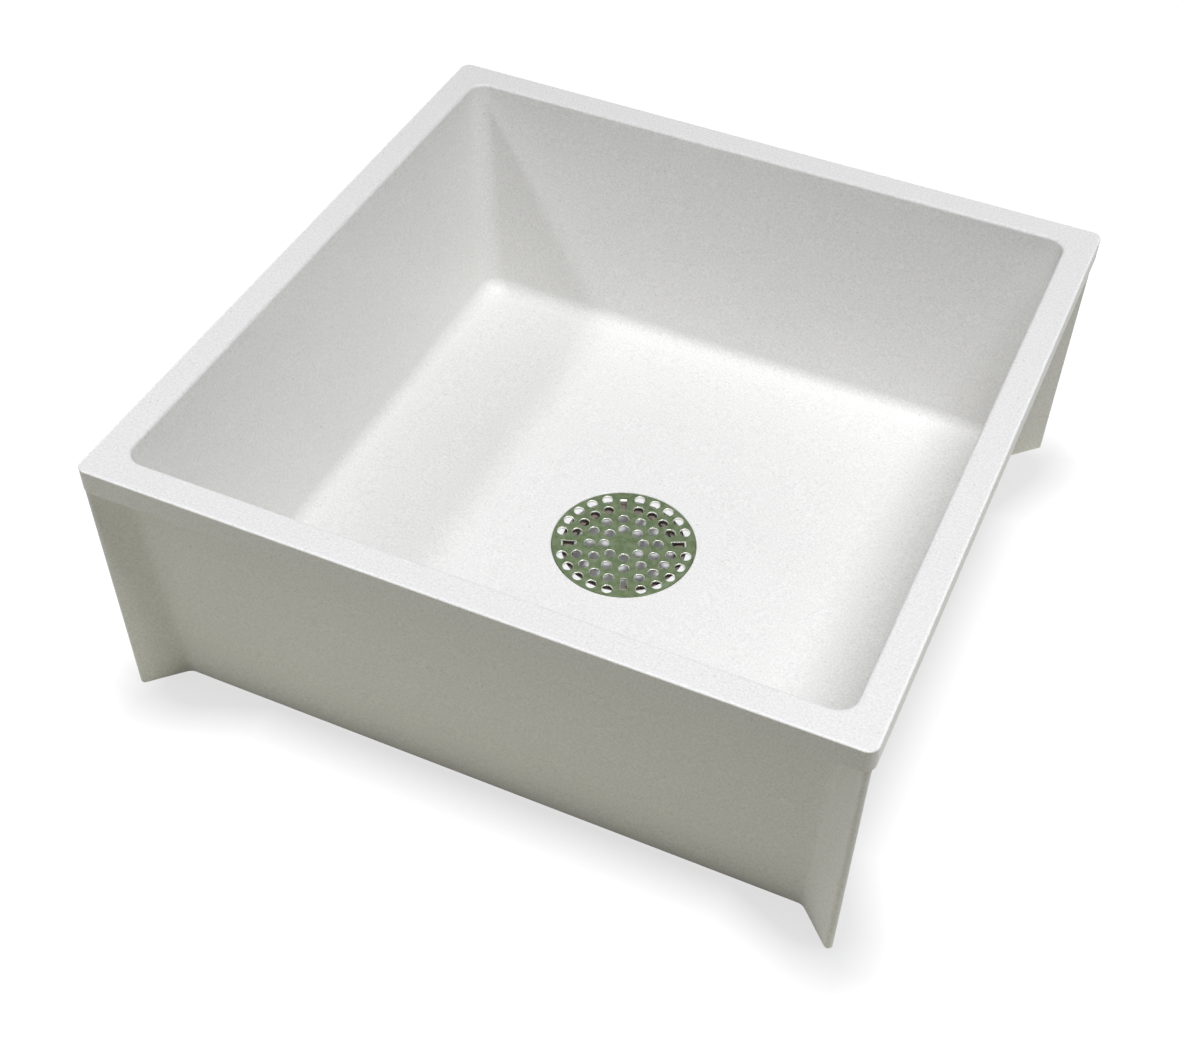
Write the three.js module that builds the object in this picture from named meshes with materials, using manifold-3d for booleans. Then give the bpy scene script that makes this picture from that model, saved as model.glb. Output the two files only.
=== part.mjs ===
// A square service basin for emptying and rinsing mops. It is one moulded shell that stands on the
// floor: a flat rim with a turned-down lip, four walls, a corner fin under each corner of the rim, and
// a floor that falls to a drain in the middle. A perforated strainer lies over the drain and lifts out.
// Sizes are in millimetres. Z is up, and the origin is the centre of the base, on the ground.

import * as THREE from 'three';
import { mergeVertices } from 'three/addons/utils/BufferGeometryUtils.js';
import Module from 'manifold-3d';

const wasm = await Module();
wasm.setup();

// Basin, seen from outside.
const basinSide = 610;
const basinHeight = 243;
const lipDepth = 21.5;
const lipThickness = 6;
const lipCornerRadius = 9;
const rimEdgeRadius = 1.8;
const lipEdgeRadius = 1.2;
const lipToWall = 21;
const wallDraft = 11;

// Basin, seen from inside.
const wallThickness = 4.2;
const rimThickness = 6.5;
const rimRoundOver = 3;
const openingCornerRadius = 15;
const innerDraft = 12.5;
const floorCornerRadius = 18;
const floorFillet = 14;
const floorFall = 8;
const floorThickness = 6;

// Corner fins, and the ribs and ring that hold the floor up from below.
const finThickness = 7;
const finFlare = 5;
const finTipInset = 0.3;
const finTipDraft = 3.6;
const ribCount = 4;
const ribThickness = 5;
const supportRingThickness = 5;

// Drain, from the pipe outwards. A 3 in drain pipe is 88.9 mm across. The fitting and its strainer are
// set at this turn to the basin, in degrees.
const drainTurn = 24;
const pipeDiameter = 88.9;
const sealWall = 10.35;
const sealGrip = 0.65;
const sealRelief = 2.6;
const sealLipHeight = 1.1;
const throatWall = 1.8;
const screwLand = 0.95;
const screwDiameter = 3.5;
const screwHeadDiameter = 6.2;
const screwHeadHeight = 1.7;
const crossRecessDepth = 1;
const crossRecessWidth = 0.9;
const headMargin = 0.3;
const clampRingMargin = 6.5;
const clampRingRoom = 1.5;

// Drain, from the ground upwards.
const drainGroundClearance = 0.8;
const throatFloorThickness = 1.5;
const pipeClearance = 2;
const clampRingThickness = 2.5;
const recessThickness = 4.3;
const gasketThickness = 1.2;
const flangeThickness = 2;
const strainerSink = 0.4;
const strainerEdgeGap = 0.4;

// Strainer plate. Ring by ring, from the rim to the blank middle: how many places a ring has, and
// whether its places at the four slots are left unpunched.
const plateThickness = 1.5;
const holeDiameter = 9.5;
const holeRimBand = 2.55;
const blankDiameter = 25;
const holeRings = [
  { places: 24, skipsSlots: true },
  { places: 20, skipsSlots: true },
  { places: 12, skipsSlots: false },
  { places: 8, skipsSlots: false },
];
const legCount = 4;
const legWidth = 5.6;
const legTipWidth = 4.2;
const legLength = 9.1;
const slotLength = 11.5;
const slotSideGap = 0.3;
const notchSideGap = 0.5;

// Neighbours keep this gap, and cutters reach this far past what they cut.
const fit = 0.3;
const overcut = 1;

// Facets: round things about the drain, each rounded corner, each side, a fillet, a punched hole.
const roundFacets = 48;
const cornerFacets = 8;
const sideFacets = roundFacets / 4 - cornerFacets;
const filletFacets = 4;
const holeFacets = 14;
const screwFacets = 16;

// A fillet takes at most this share of the shorter edge beside it.
const filletShare = 0.45;

// Radii about the drain's axis.
const sealOuter = pipeDiameter / 2 + sealWall;
const throatInner = sealOuter + fit;
const throatOuter = throatInner + throatWall;
const floorHole = throatOuter + fit;
const screwHole = screwDiameter / 2 + fit;
const screwCircle = floorHole + screwLand + screwHole;
const flangeOuter = screwCircle + screwHeadDiameter / 2 + headMargin;
const recessRadius = flangeOuter + fit;
const plateRadius = recessRadius - strainerEdgeGap;
const clampRingOuter = screwCircle + clampRingMargin;
const supportRingInner = clampRingOuter + clampRingRoom;
const supportRingOuter = supportRingInner + supportRingThickness;

// Heights in the drain.
const clampRingBottom = drainGroundClearance;
const clampRingTop = clampRingBottom + clampRingThickness;
const bossUnderside = clampRingTop + fit;
const recessFloor = bossUnderside + recessThickness;
const gasketBottom = recessFloor + fit;
const gasketTop = gasketBottom + gasketThickness;
const flangeBottom = gasketTop + fit;
const flangeTop = flangeBottom + flangeThickness;
const plateBottom = flangeTop + fit;
const plateTop = plateBottom + plateThickness;
const floorLow = plateTop + strainerSink;
const throatFloorTop = drainGroundClearance + throatFloorThickness;
const sealBottom = throatFloorTop + fit;

// Half widths and heights of the shell.
const outerHalf = basinSide / 2;
const lipBottom = basinHeight - lipDepth;
const rimUnderside = basinHeight - rimThickness;
const wallTopHalf = outerHalf - lipToWall;
const wallFootHalf = wallTopHalf - wallDraft;
const wallSlope = wallDraft / lipBottom;
const floorHigh = floorLow + floorFall;
const openingHalf = wallTopHalf - wallThickness;
const floorHalf = openingHalf - innerDraft;
const skirtHalf = wallFootHalf - wallThickness;
const floorUnderside = floorHigh - floorThickness;

// A fin's flare turns through half a right angle from the wall to the fin. The wall's own corner is
// rounded only inside the fin, so its arc starts where the flare ends.
const diagonalOfSquare = Math.SQRT2;
const finFlareTangent = finFlare * Math.tan(Math.PI / 8);
const wallCornerRadius = (finThickness / 2) * diagonalOfSquare + finFlareTangent;

// Half widths and plan corners of the shell's hidden faces.
const lipInnerHalf = outerHalf - lipThickness;
const lipInnerCorner = Math.max(lipCornerRadius - lipThickness, 0);
const skirtCorner = Math.max(wallCornerRadius - wallThickness, 0);
const wallUnderRimHalf = wallFootHalf + wallSlope * rimUnderside;

// ---- Solids -------------------------------------------------------------------------------------

function solid(geometry) {
  const bare = geometry.clone();
  bare.deleteAttribute('normal');
  bare.deleteAttribute('uv');
  const merged = mergeVertices(bare);
  return new wasm.Manifold(new wasm.Mesh({
    numProp: 3,
    vertProperties: new Float32Array(merged.attributes.position.array),
    triVerts: new Uint32Array(merged.index.array),
  }));
}

function geometryOf(body) {
  const mesh = body.getMesh();
  const geometry = new THREE.BufferGeometry();
  geometry.setAttribute('position', new THREE.BufferAttribute(new Float32Array(mesh.vertProperties), 3));
  geometry.setIndex(new THREE.BufferAttribute(new Uint32Array(mesh.triVerts), 1));
  geometry.computeVertexNormals();
  return geometry;
}

function gridGeometry(points, triangles) {
  const geometry = new THREE.BufferGeometry();
  geometry.setAttribute('position', new THREE.Float32BufferAttribute(points.flat(), 3));
  geometry.setIndex(triangles.flat());
  return geometry;
}

// A body of revolution about Z from a closed outline of [radius, height] pairs, which runs round its
// section with the material on its left.
function revolved(outline, facets = roundFacets) {
  const points = [...outline, outline[0]].map(([radius, height]) => new THREE.Vector2(radius, height));
  return solid(new THREE.LatheGeometry(points, facets).rotateX(Math.PI / 2));
}

function cylinder(radius, low, high, facets) {
  const geometry = new THREE.CylinderGeometry(radius, radius, high - low, facets);
  return solid(geometry.rotateX(Math.PI / 2).translate(0, 0, (low + high) / 2));
}

// A body between two level outlines of equally many points, which run anticlockwise seen from above.
function lofted(lowOutline, low, highOutline, high) {
  const count = lowOutline.length;
  const points = [
    ...lowOutline.map(({ x, y }) => [x, y, low]),
    ...highOutline.map(({ x, y }) => [x, y, high]),
  ];
  const cap = THREE.ShapeUtils.triangulateShape(lowOutline, []);
  const triangles = cap.map(([a, b, c]) => [a, c, b]);
  triangles.push(...cap.map(([a, b, c]) => [a + count, b + count, c + count]));
  for (let i = 0; i < count; i += 1) {
    const next = (i + 1) % count;
    triangles.push([i, next, next + count], [i, next + count, i + count]);
  }
  return solid(gridGeometry(points, triangles));
}

// Copies of a body turned about Z, evenly spaced.
function around(body, count) {
  return Array.from({ length: count }, (_, i) => body.rotate([0, 0, (i * 360) / count]));
}

// ---- Basin --------------------------------------------------------------------------------------

// One level outline of the shell: a square with rounded corners, which turns into a circle of the same
// half width as roundness goes from 0 to 1.
function shellOutline(half, cornerRadius, roundness) {
  const perQuarter = cornerFacets + sideFacets;
  const start = 45 - (45 * cornerFacets) / perQuarter;
  const inset = half - cornerRadius;
  const outline = [];
  for (let quarter = 0; quarter < 4; quarter += 1) {
    const turn = new THREE.Matrix4().makeRotationZ((quarter * Math.PI) / 2);
    for (let k = 0; k < perQuarter; k += 1) {
      const onCorner = Math.min(k, cornerFacets) / cornerFacets;
      const alongSide = Math.max(k - cornerFacets, 0) / sideFacets;
      const arc = (onCorner * Math.PI) / 2;
      const square = new THREE.Vector3(
        inset + cornerRadius * Math.cos(arc) - 2 * inset * alongSide,
        inset + cornerRadius * Math.sin(arc),
        0,
      );
      const angle = THREE.MathUtils.degToRad(start + (90 * k) / perQuarter);
      const circle = new THREE.Vector3(half * Math.cos(angle), half * Math.sin(angle), 0);
      outline.push(square.lerp(circle, roundness).applyMatrix4(turn));
    }
  }
  return outline;
}

// The corners of the shell's section, from the drain hole over the floor, up the inside, over the rim,
// down the outside and back along the underside. Each has a half width, a height, the radius of the
// plan's corners there, how round the plan is, and the radius of the fillet at that corner of the section.
const shellSection = [
  { half: floorHole, height: recessFloor, corner: 0, roundness: 1 },
  { half: recessRadius, height: recessFloor, corner: 0, roundness: 1 },
  { half: recessRadius, height: floorLow, corner: 0, roundness: 1 },
  { half: floorHalf, height: floorHigh, corner: floorCornerRadius, roundness: 0, fillet: floorFillet },
  { half: openingHalf, height: basinHeight, corner: openingCornerRadius, roundness: 0, fillet: rimRoundOver },
  { half: outerHalf, height: basinHeight, corner: lipCornerRadius, roundness: 0, fillet: rimEdgeRadius },
  { half: outerHalf, height: lipBottom, corner: lipCornerRadius, roundness: 0, fillet: lipEdgeRadius },
  { half: lipInnerHalf, height: lipBottom, corner: lipInnerCorner, roundness: 0 },
  { half: lipInnerHalf, height: rimUnderside, corner: lipInnerCorner, roundness: 0 },
  { half: wallUnderRimHalf, height: rimUnderside, corner: wallCornerRadius, roundness: 0 },
  { half: wallFootHalf, height: 0, corner: wallCornerRadius, roundness: 0 },
  { half: skirtHalf, height: 0, corner: skirtCorner, roundness: 0 },
  { half: skirtHalf, height: floorUnderside, corner: skirtCorner, roundness: 0 },
  { half: supportRingOuter, height: floorLow - floorThickness, corner: 0, roundness: 1 },
  { half: supportRingOuter, height: 0, corner: 0, roundness: 1 },
  { half: supportRingInner, height: 0, corner: 0, roundness: 1 },
  { half: supportRingInner, height: bossUnderside, corner: 0, roundness: 1 },
  { half: floorHole, height: bossUnderside, corner: 0, roundness: 1 },
];

// The section with its filleted corners replaced by arcs that touch both neighbouring edges. Along an
// arc the plan's corner radius grows or shrinks with the half width, as an offset outline's does.
function roundedSection(section) {
  return section.flatMap((corner, i) => {
    if (!corner.fillet) return [corner];
    const before = section.at(i - 1);
    const after = section[(i + 1) % section.length];
    const here = new THREE.Vector2(corner.half, corner.height);
    const back = new THREE.Vector2(before.half, before.height).sub(here);
    const ahead = new THREE.Vector2(after.half, after.height).sub(here);
    const reaches = [back.length(), ahead.length()];
    back.normalize();
    ahead.normalize();
    const halfAngle = Math.acos(THREE.MathUtils.clamp(back.dot(ahead), -1, 1)) / 2;
    const radius = Math.min(corner.fillet, filletShare * Math.min(...reaches) * Math.tan(halfAngle));
    const tangent = radius / Math.tan(halfAngle);
    const start = here.clone().addScaledVector(back, tangent);
    const middle = back.clone().add(ahead).normalize().multiplyScalar(radius / Math.sin(halfAngle)).add(here);
    const sweep = Math.PI - 2 * halfAngle;
    const sense = Math.sign(back.cross(ahead)) * -1;
    const backShare = (tangent / reaches[0]) * (before.roundness - corner.roundness);
    const aheadShare = (tangent / reaches[1]) * (after.roundness - corner.roundness);
    return Array.from({ length: filletFacets + 1 }, (_, step) => {
      const along = step / filletFacets;
      const point = start.clone().rotateAround(middle, sense * sweep * along);
      return {
        half: point.x,
        height: point.y,
        corner: Math.max(corner.corner + point.x - corner.half, 0),
        roundness: corner.roundness + backShare * (1 - along) + aheadShare * along,
      };
    });
  });
}

function shell() {
  const rings = roundedSection(shellSection);
  const points = rings.flatMap(({ half, height, corner, roundness }) =>
    shellOutline(half, corner, roundness).map(({ x, y }) => [x, y, height]));
  const triangles = [];
  for (let ring = 0; ring < rings.length; ring += 1) {
    const here = ring * roundFacets;
    const there = ((ring + 1) % rings.length) * roundFacets;
    for (let k = 0; k < roundFacets; k += 1) {
      const next = (k + 1) % roundFacets;
      triangles.push([here + k, there + k, there + next], [here + k, there + next, here + next]);
    }
  }
  return solid(gridGeometry(points, triangles));
}

// A fin's level outline at the +X +Y corner: it springs from inside the wall, flares away from both
// wall faces, runs out along the diagonal and ends in a round tip.
function finOutline(wallHalf, tipReach) {
  const halfThickness = finThickness / 2;
  const crease = wallHalf * diagonalOfSquare - halfThickness;
  const flareCentre = new THREE.Vector2(crease + finFlareTangent, halfThickness + finFlare);
  const rootDepth = wallThickness / 2;
  const flare = [];
  for (let step = 0; step <= filletFacets; step += 1) {
    const angle = (-3 * Math.PI) / 4 + (step / filletFacets) * (Math.PI / 4);
    flare.push(new THREE.Vector2(Math.cos(angle), Math.sin(angle)).multiplyScalar(finFlare).add(flareCentre));
  }
  const root = flare[0].clone().sub(new THREE.Vector2(1, 1).setLength(rootDepth));
  const leftSide = [root, ...flare];
  const tip = [];
  for (let step = 0; step <= cornerFacets; step += 1) {
    const angle = Math.PI / 2 - (step / cornerFacets) * Math.PI;
    const fromCentre = new THREE.Vector2(Math.cos(angle), Math.sin(angle)).multiplyScalar(halfThickness);
    tip.push(fromCentre.add(new THREE.Vector2(tipReach - halfThickness, 0)));
  }
  const rightSide = leftSide.map(({ x, y }) => new THREE.Vector2(x, -y)).reverse();
  const origin = new THREE.Vector2();
  const clockwise = [...leftSide, ...tip, ...rightSide];
  return clockwise.reverse().map((point) => point.rotateAround(origin, Math.PI / 4));
}

function cornerFin() {
  const lipReach = outerHalf * diagonalOfSquare - lipCornerRadius * (diagonalOfSquare - 1);
  const topReach = lipReach - finTipInset;
  const top = basinHeight - rimThickness / 2;
  const topWall = wallFootHalf + wallSlope * top;
  return lofted(finOutline(wallFootHalf, topReach - finTipDraft), 0, finOutline(topWall, topReach), top);
}

// A rib under the floor from the drain's support ring to the skirt. Its top edge runs inside the
// floor's thickness, and its ends inside the ring and the skirt.
function floorRib() {
  const inFloor = floorThickness / 2;
  const start = supportRingOuter - supportRingThickness / 2;
  const end = skirtHalf + wallThickness / 2;
  const outline = new THREE.Shape([
    new THREE.Vector2(start, 0),
    new THREE.Vector2(end, 0),
    new THREE.Vector2(end, floorUnderside + inFloor),
    new THREE.Vector2(start, floorLow - inFloor),
  ]);
  const geometry = new THREE.ExtrudeGeometry(outline, { depth: ribThickness, bevelEnabled: false });
  return solid(geometry.rotateX(Math.PI / 2).translate(0, ribThickness / 2, 0));
}

function screwHoles(low, high) {
  const hole = cylinder(screwHole, low - overcut, high + overcut, screwFacets).translate([screwCircle, 0, 0]);
  return wasm.Manifold.union(around(hole, legCount));
}

function basin() {
  const fins = around(cornerFin(), 4);
  const ribs = around(floorRib(), ribCount);
  const moulding = wasm.Manifold.union([shell(), ...fins, ...ribs]);
  return moulding.subtract(screwHoles(bossUnderside, recessFloor).rotate([0, 0, drainTurn]));
}

// ---- Drain --------------------------------------------------------------------------------------

// The drain fitting: a flange for the strainer to lie on, a throat through the floor, and an inward
// lip at the bottom that the pipe seal sits on.
function drainBody() {
  const lipInner = pipeDiameter / 2 + pipeClearance;
  const body = revolved([
    [lipInner, drainGroundClearance],
    [throatOuter, drainGroundClearance],
    [throatOuter, flangeBottom],
    [flangeOuter, flangeBottom],
    [flangeOuter, flangeTop],
    [throatInner, flangeTop],
    [throatInner, throatFloorTop],
    [lipInner, throatFloorTop],
  ]);
  const countersink = revolved([
    [0, flangeTop - screwHeadHeight],
    [screwHole, flangeTop - screwHeadHeight],
    [screwHeadDiameter / 2 + headMargin / 2, flangeTop],
    [screwHeadDiameter / 2 + headMargin / 2, flangeTop + overcut],
    [0, flangeTop + overcut],
  ], screwFacets).translate([screwCircle, 0, 0]);
  const seats = wasm.Manifold.union(around(countersink, legCount));
  return body.subtract(screwHoles(flangeBottom, flangeTop)).subtract(seats);
}

function flatRing(inner, outer, low, high) {
  const ring = revolved([[inner, low], [outer, low], [outer, high], [inner, high]]);
  return ring.subtract(screwHoles(low, high));
}

// The rubber ring that grips the pipe with two lips. Its rim is notched where the strainer's legs pass.
function pipeSeal() {
  const bore = pipeDiameter / 2;
  const relief = bore + sealRelief;
  const top = gasketBottom;
  const ring = revolved([
    [relief, sealBottom],
    [sealOuter, sealBottom],
    [sealOuter, top],
    [relief, top],
    [bore - sealGrip, top - sealLipHeight],
    [relief, top - 2 * sealLipHeight],
    [relief, sealBottom + 2 * sealLipHeight],
    [bore - sealGrip, sealBottom + sealLipHeight],
  ]);
  const depth = plateThickness + 2 * fit;
  const width = legWidth + 2 * notchSideGap;
  const notch = new THREE.BoxGeometry(depth + overcut, width, top - sealBottom + 2 * overcut);
  notch.translate(sealOuter - depth + (depth + overcut) / 2, 0, (sealBottom + top) / 2);
  return ring.subtract(wasm.Manifold.union(around(solid(notch), legCount)));
}

// A countersunk screw with a cross recess. It ends flush with the underside of the clamp ring.
function clampScrew() {
  const screw = revolved([
    [0, clampRingBottom],
    [screwDiameter / 2, clampRingBottom],
    [screwDiameter / 2, flangeTop - screwHeadHeight],
    [screwHeadDiameter / 2, flangeTop],
    [0, flangeTop],
  ], screwFacets);
  const slot = new THREE.BoxGeometry(screwDiameter, crossRecessWidth, 2 * crossRecessDepth);
  slot.translate(0, 0, flangeTop);
  return screw.subtract(solid(slot)).subtract(solid(slot).rotate([0, 0, 90]));
}

// ---- Strainer -----------------------------------------------------------------------------------

function circlePoints(x, y, radius, facets) {
  return Array.from({ length: facets }, (_, i) => {
    const angle = (i * 2 * Math.PI) / facets;
    return new THREE.Vector2(x + radius * Math.cos(angle), y + radius * Math.sin(angle));
  });
}

// Centres of the punched holes. The rings are evenly spaced from the rim band to the blank middle.
function holeCentres() {
  const outerRing = plateRadius - holeRimBand - holeDiameter / 2;
  const innerRing = (blankDiameter + holeDiameter) / 2;
  return holeRings.flatMap(({ places, skipsSlots }, ring) => {
    const radius = THREE.MathUtils.lerp(outerRing, innerRing, ring / (holeRings.length - 1));
    const centres = [];
    for (let place = 0; place < places; place += 1) {
      const angle = (place * 2 * Math.PI) / places;
      if (skipsSlots && place % (places / legCount) === 0) continue;
      centres.push(new THREE.Vector2(radius * Math.cos(angle), radius * Math.sin(angle)));
    }
    return centres;
  });
}

// The slot that a leg is bent out of, widest at the leg.
function slotOutline(quarter) {
  const legInner = throatInner - fit - plateThickness;
  const wide = legWidth / 2 + slotSideGap;
  const narrow = legTipWidth / 2 + slotSideGap;
  const corners = [
    [legInner - slotLength, -narrow],
    [legInner, -wide],
    [legInner, wide],
    [legInner - slotLength, narrow],
  ];
  const origin = new THREE.Vector2();
  const turn = (quarter * 2 * Math.PI) / legCount;
  return corners.map(([x, y]) => new THREE.Vector2(x, y).rotateAround(origin, turn));
}

// A leg hangs at the slot's outer end, close to the throat's wall, and narrows to its foot.
function strainerLeg() {
  const outer = throatInner - fit;
  const inner = outer - plateThickness;
  const section = (width) => [
    new THREE.Vector2(inner, -width / 2),
    new THREE.Vector2(outer, -width / 2),
    new THREE.Vector2(outer, width / 2),
    new THREE.Vector2(inner, width / 2),
  ];
  const rootInPlate = plateBottom + plateThickness / 2;
  return lofted(section(legTipWidth), plateBottom - legLength, section(legWidth), rootInPlate);
}

function strainer() {
  const outline = new THREE.Shape(circlePoints(0, 0, plateRadius, roundFacets));
  const holes = holeCentres().map(({ x, y }) => circlePoints(x, y, holeDiameter / 2, holeFacets));
  const slots = Array.from({ length: legCount }, (_, quarter) => slotOutline(quarter));
  outline.holes = [...holes, ...slots].map((points) => new THREE.Path(points));
  const plate = new THREE.ExtrudeGeometry(outline, { depth: plateThickness, bevelEnabled: false });
  const legs = around(strainerLeg(), legCount);
  return wasm.Manifold.union([solid(plate.translate(0, 0, plateBottom)), ...legs]);
}

// ---- Assembly -----------------------------------------------------------------------------------

function finish(color, roughness, metalness = 0) {
  return new THREE.MeshStandardMaterial({ color, roughness, metalness });
}

const moulding = () => finish('#eceeed', 0.55);
const oliveSteel = () => finish('#7d8a6c', 0.35, 1);
const plainSteel = () => finish('#b4b4b0', 0.35, 1);
const plumbingPlastic = () => finish('#f2f2ee', 0.4);
const rubber = () => finish('#4b4740', 0.8);

function piece(name, body, material) {
  const mesh = new THREE.Mesh(geometryOf(body), material);
  mesh.name = name;
  return mesh;
}

const drain = new THREE.Group();
drain.rotation.z = THREE.MathUtils.degToRad(drainTurn);
drain.add(piece('drain_body', drainBody(), plumbingPlastic()));
const gasket = flatRing(floorHole, flangeOuter - fit, gasketBottom, gasketTop);
drain.add(piece('flange_gasket', gasket, rubber()));
const clampRing = flatRing(floorHole, clampRingOuter, clampRingBottom, clampRingTop);
drain.add(piece('clamp_ring', clampRing, plainSteel()));
drain.add(piece('pipe_seal', pipeSeal(), rubber()));
drain.add(piece('strainer', strainer(), oliveSteel()));
for (let place = 0; place < legCount; place += 1) {
  const screw = piece(`clamp_screw_${place + 1}`, clampScrew(), plainSteel());
  const angle = (place * 2 * Math.PI) / legCount;
  screw.position.set(screwCircle * Math.cos(angle), screwCircle * Math.sin(angle), 0);
  drain.add(screw);
}

const sink = new THREE.Group();
sink.add(piece('basin', basin(), moulding()));
sink.add(drain);

export default sink;
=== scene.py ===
"""A square mop basin with a lift-out strainer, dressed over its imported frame. Metres, +Z up."""
import math

import bpy
import numpy as np
from mathutils import Matrix, Vector


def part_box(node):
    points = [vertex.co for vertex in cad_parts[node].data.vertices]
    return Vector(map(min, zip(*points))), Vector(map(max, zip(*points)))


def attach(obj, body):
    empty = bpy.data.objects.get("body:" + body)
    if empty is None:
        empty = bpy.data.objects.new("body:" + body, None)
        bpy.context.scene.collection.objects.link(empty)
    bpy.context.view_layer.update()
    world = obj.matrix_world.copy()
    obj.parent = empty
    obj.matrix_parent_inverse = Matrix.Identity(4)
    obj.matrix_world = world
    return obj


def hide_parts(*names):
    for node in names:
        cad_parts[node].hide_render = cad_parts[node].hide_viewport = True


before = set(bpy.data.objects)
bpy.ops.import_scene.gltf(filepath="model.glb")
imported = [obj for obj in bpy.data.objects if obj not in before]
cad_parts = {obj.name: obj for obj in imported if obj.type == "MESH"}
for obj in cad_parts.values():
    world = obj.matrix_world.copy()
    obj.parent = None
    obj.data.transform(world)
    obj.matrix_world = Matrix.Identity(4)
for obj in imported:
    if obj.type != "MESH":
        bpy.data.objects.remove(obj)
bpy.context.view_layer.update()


# ---- Viewpoint -----------------------------------------------------------------------------------
# The basin stands a little turned and is seen from above its front edge, near enough for the back
# rim to look clearly shorter than the front one. The picture is cropped slightly off the lens axis.

IMAGE_WIDTH, IMAGE_HEIGHT = 1184, 1037
rim_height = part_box("basin")[1].z
view_azimuth, view_elevation, view_roll = (math.radians(a) for a in (21.84, 46.53, 2.52))
view_distance = 1.2415
view_target = Vector((0.0982, -0.2090, rim_height))
focal_pixels = 1781.5
axis_pixel = (638.5, 554.9)

eye = bpy.data.cameras.new("viewpoint")
eye.sensor_width = 36
eye.lens = eye.sensor_width * focal_pixels / IMAGE_WIDTH
eye.shift_x = (IMAGE_WIDTH / 2 - axis_pixel[0]) / IMAGE_WIDTH
eye.shift_y = (axis_pixel[1] - IMAGE_HEIGHT / 2) / IMAGE_WIDTH
eye.clip_start, eye.clip_end = 0.01, 50
camera = bpy.data.objects.new("viewpoint", eye)
bpy.context.scene.collection.objects.link(camera)
turn = (Matrix.Rotation(view_azimuth, 4, "Z")
        @ Matrix.Rotation(math.pi / 2 - view_elevation, 4, "X")
        @ Matrix.Rotation(view_roll, 4, "Z"))
camera.matrix_world = Matrix.Translation(view_target) @ turn @ Matrix.Translation((0, 0, view_distance))
bpy.context.scene.camera = camera


# ---- Studio --------------------------------------------------------------------------------------
# A soft lamp high over the front right, and a long narrow one on the left whose edge draws the shadow
# inside the basin. The pale ground throws their light up again, onto the outer walls.

class Wire:
    """A shader socket that does arithmetic: an operator on it adds a Math node."""

    def __init__(self, tree, socket=None):
        self.tree = tree
        self.socket = socket

    def node(self, kind, settings=None, output=0, **inputs):
        """Adds a node, sets it up, then gives its sockets their values or links. Inputs go by name, with
        _ for a space, or as in0, in1 by number. The answer is the wire of one output."""
        made = self.tree.nodes.new(kind)
        for name, value in (settings or {}).items():
            setattr(made, name, value)
        for name, value in inputs.items():
            by_number = name[2:].isdigit() and name.startswith("in")
            socket = made.inputs[int(name[2:])] if by_number else made.inputs[name.replace("_", " ")]
            if isinstance(value, Wire):
                self.tree.links.new(value.socket, socket)
            elif isinstance(value, tuple) and socket.type == "RGBA":
                socket.default_value = (*value, 1)
            else:
                socket.default_value = value
        return Wire(self.tree, made.outputs[output] if made.outputs else None)

    def math(self, operation, first, second):
        return self.node("ShaderNodeMath", {"operation": operation}, in0=first, in1=second)

    def ramp(self, zone, low=0.0, high=1.0):
        """Runs from low to high as this value crosses the zone, and holds them on either side of it."""
        return self.node("ShaderNodeMapRange", Value=self, in1=zone[0], in2=zone[1], in3=low, in4=high)

    def tint(self, colour):
        """The colour scaled by this value."""
        return self.node("ShaderNodeVectorMath", {"operation": "SCALE"}, in0=colour, Scale=self)

    def __add__(self, other):
        return self.math("ADD", self, other)

    def __radd__(self, other):
        return self.math("ADD", other, self)

    def __sub__(self, other):
        return self.math("SUBTRACT", self, other)

    def __rsub__(self, other):
        return self.math("SUBTRACT", other, self)

    def __mul__(self, other):
        return self.math("MULTIPLY", self, other)

    def __rmul__(self, other):
        return self.math("MULTIPLY", other, self)


def shader_start(owner):
    """Empties a material's or world's node tree and starts wiring it."""
    owner.use_nodes = True
    owner.node_tree.nodes.clear()
    return Wire(owner.node_tree)


def seen_directly(start):
    """1 for camera, glossy and transmission rays, 0 for the light that falls on the object."""
    kinds = [start.node("ShaderNodeLightPath", output=name)
             for name in ("Is Camera Ray", "Is Glossy Ray", "Is Transmission Ray")]
    return start.math("MINIMUM", kinds[0] + kinds[1] + kinds[2], 1)


bpy.context.scene.view_settings.view_transform = "Standard"

sky_light = (0.01, 0.01, 0.009)
world = bpy.data.worlds.new("studio")
bpy.context.scene.world = world
sky = shader_start(world)
sky_colour = sky.node("ShaderNodeMix", {"data_type": "RGBA"}, output=2,
                      in0=seen_directly(sky), in6=sky_light, in7=(1.0, 1.0, 1.0))
sky.node("ShaderNodeOutputWorld", Surface=sky.node("ShaderNodeBackground", Color=sky_colour))

ground_reach = 30
ground_colour = (0.65, 0.645, 0.515)
paleness_zone, paleness_left, paleness_right = (-0.4, 0.4), 1.07, 0.77
near_zone, near_lift = (0.03, 0.25), 0.28
ground_glow = (0.70, 0.70, 0.70)
glow_under, glow_lift = 0.13, 0.6
seen_under, seen_outside = 0.64, 0.10
under_zone = (0.10, 0.20)
# The glow that the camera sees is held down round the basin's foot: a painted soft shadow.
shadow_half, shadow_shift, shadow_zone = 0.255, 0.012, (0.011, 0.075)
tip_zone, tip_reach = (0.20, 0.30), 0.041
ground_mesh = bpy.data.meshes.new("ground")
square = ((-1, -1), (1, -1), (1, 1), (-1, 1))
ground_mesh.from_pydata([(x * ground_reach, y * ground_reach, 0) for x, y in square], [], [(0, 1, 2, 3)])
ground = bpy.data.objects.new("ground", ground_mesh)
bpy.context.scene.collection.objects.link(ground)


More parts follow.
